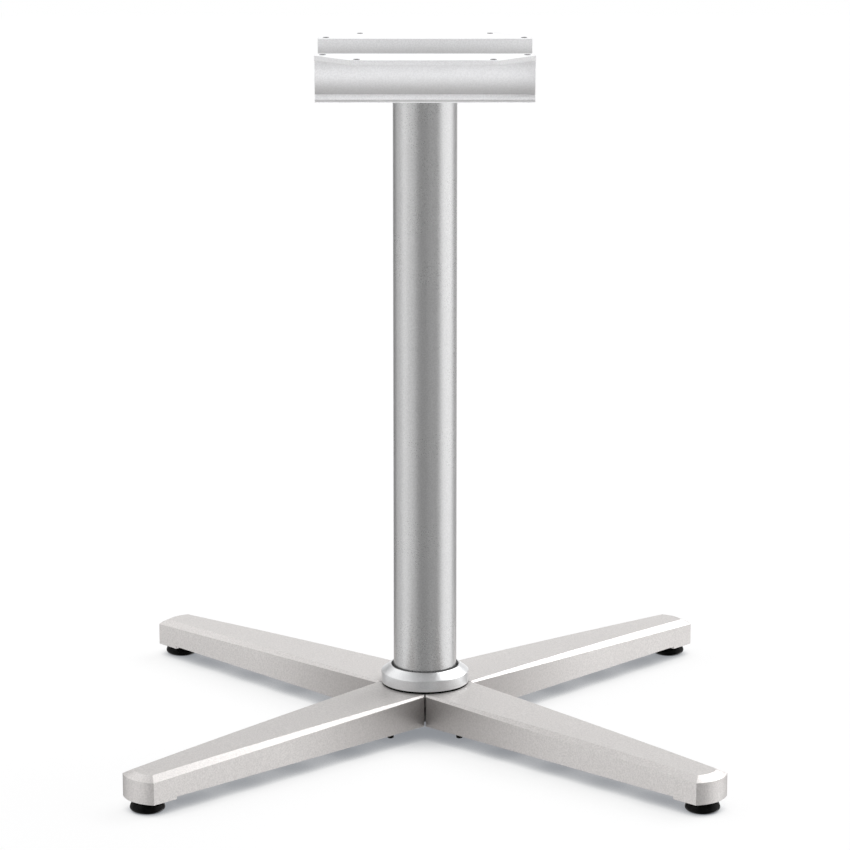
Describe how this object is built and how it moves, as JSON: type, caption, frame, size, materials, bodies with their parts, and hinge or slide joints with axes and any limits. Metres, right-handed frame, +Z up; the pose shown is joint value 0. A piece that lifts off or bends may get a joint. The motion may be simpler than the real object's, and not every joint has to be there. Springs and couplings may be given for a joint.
{
  "type": "four star table base",
  "caption": "Pedestal table base with a round column on tapered cast legs set crosswise, a channel-shaped top bracket and screw-in levelling glides.",
  "frame": {"origin": "on the floor under the middle of the column", "axes": "+Z up the column, front towards -Y, legs along the diagonals, the bracket's channel along X"},
  "size_m": [0.5756, 0.5756, 0.6955],
  "materials": {
    "leg_coat": "fine-grained metallic powder coat",
    "column_coat": "satin metallic coat",
    "collar_coat": "satin",
    "bracket_coat": "satin coat",
    "plate_steel": "plain rolled steel",
    "plug_aluminium": "turned",
    "zinc_steel": "zinc plated",
    "glide_nylon": "glossy moulded"
  },
  "bodies": {
    "base": {"column_tube": "column_coat", "column_head_plug": "plug_aluminium", "column_foot_plug": "plug_aluminium", "collar_ring": "collar_coat", "tie_rod": "zinc_steel", "top_washer": "zinc_steel", "bottom_nut": "zinc_steel", "top_nut": "zinc_steel", "hub_plate": "plate_steel", "hub_nuts": "zinc_steel", "top_bracket": "bracket_coat", "leg_front_right": "leg_coat", "leg_rear_right": "leg_coat", "leg_rear_left": "leg_coat", "leg_front_left": "leg_coat"},
    "pad_front_right": {"glide_pad_front_right": "glide_nylon"},
    "stem_front_right": {"glide_stem_front_right": "zinc_steel"},
    "pad_rear_right": {"glide_pad_rear_right": "glide_nylon"},
    "stem_rear_right": {"glide_stem_rear_right": "zinc_steel"},
    "pad_rear_left": {"glide_pad_rear_left": "glide_nylon"},
    "stem_rear_left": {"glide_stem_rear_left": "zinc_steel"},
    "pad_front_left": {"glide_pad_front_left": "glide_nylon"},
    "stem_front_left": {"glide_stem_front_left": "zinc_steel"}
  },
  "joints": [
    {"name": "glide_front_right_out", "type": "slide", "parent": "base", "child": "pad_front_right", "axis": [0, 0, -1], "range_m": [0, 0.012]},
    {"name": "stem_front_right_turn", "type": "hinge", "parent": "pad_front_right", "child": "stem_front_right", "pos_m": [0.26389, -0.26389, 0.01], "axis": [0, 0, -1], "range_deg": [0, 3456]},
    {"name": "glide_rear_right_out", "type": "slide", "parent": "base", "child": "pad_rear_right", "axis": [0, 0, -1], "range_m": [0, 0.012]},
    {"name": "stem_rear_right_turn", "type": "hinge", "parent": "pad_rear_right", "child": "stem_rear_right", "pos_m": [0.26389, 0.26389, 0.01], "axis": [0, 0, -1], "range_deg": [0, 3456]},
    {"name": "glide_rear_left_out", "type": "slide", "parent": "base", "child": "pad_rear_left", "axis": [0, 0, -1], "range_m": [0, 0.012]},
    {"name": "stem_rear_left_turn", "type": "hinge", "parent": "pad_rear_left", "child": "stem_rear_left", "pos_m": [-0.26389, 0.26389, 0.01], "axis": [0, 0, -1], "range_deg": [0, 3456]},
    {"name": "glide_front_left_out", "type": "slide", "parent": "base", "child": "pad_front_left", "axis": [0, 0, -1], "range_m": [0, 0.012]},
    {"name": "stem_front_left_turn", "type": "hinge", "parent": "pad_front_left", "child": "stem_front_left", "pos_m": [-0.26389, -0.26389, 0.01], "axis": [0, 0, -1], "range_deg": [0, 3456]}
  ],
  "couplings": [
    {"joint": "stem_front_right_turn", "follows": "glide_front_right_out", "rad_per_m": 5026.5},
    {"joint": "stem_rear_right_turn", "follows": "glide_rear_right_out", "rad_per_m": 5026.5},
    {"joint": "stem_rear_left_turn", "follows": "glide_rear_left_out", "rad_per_m": 5026.5},
    {"joint": "stem_front_left_turn", "follows": "glide_front_left_out", "rad_per_m": 5026.5}
  ]
}
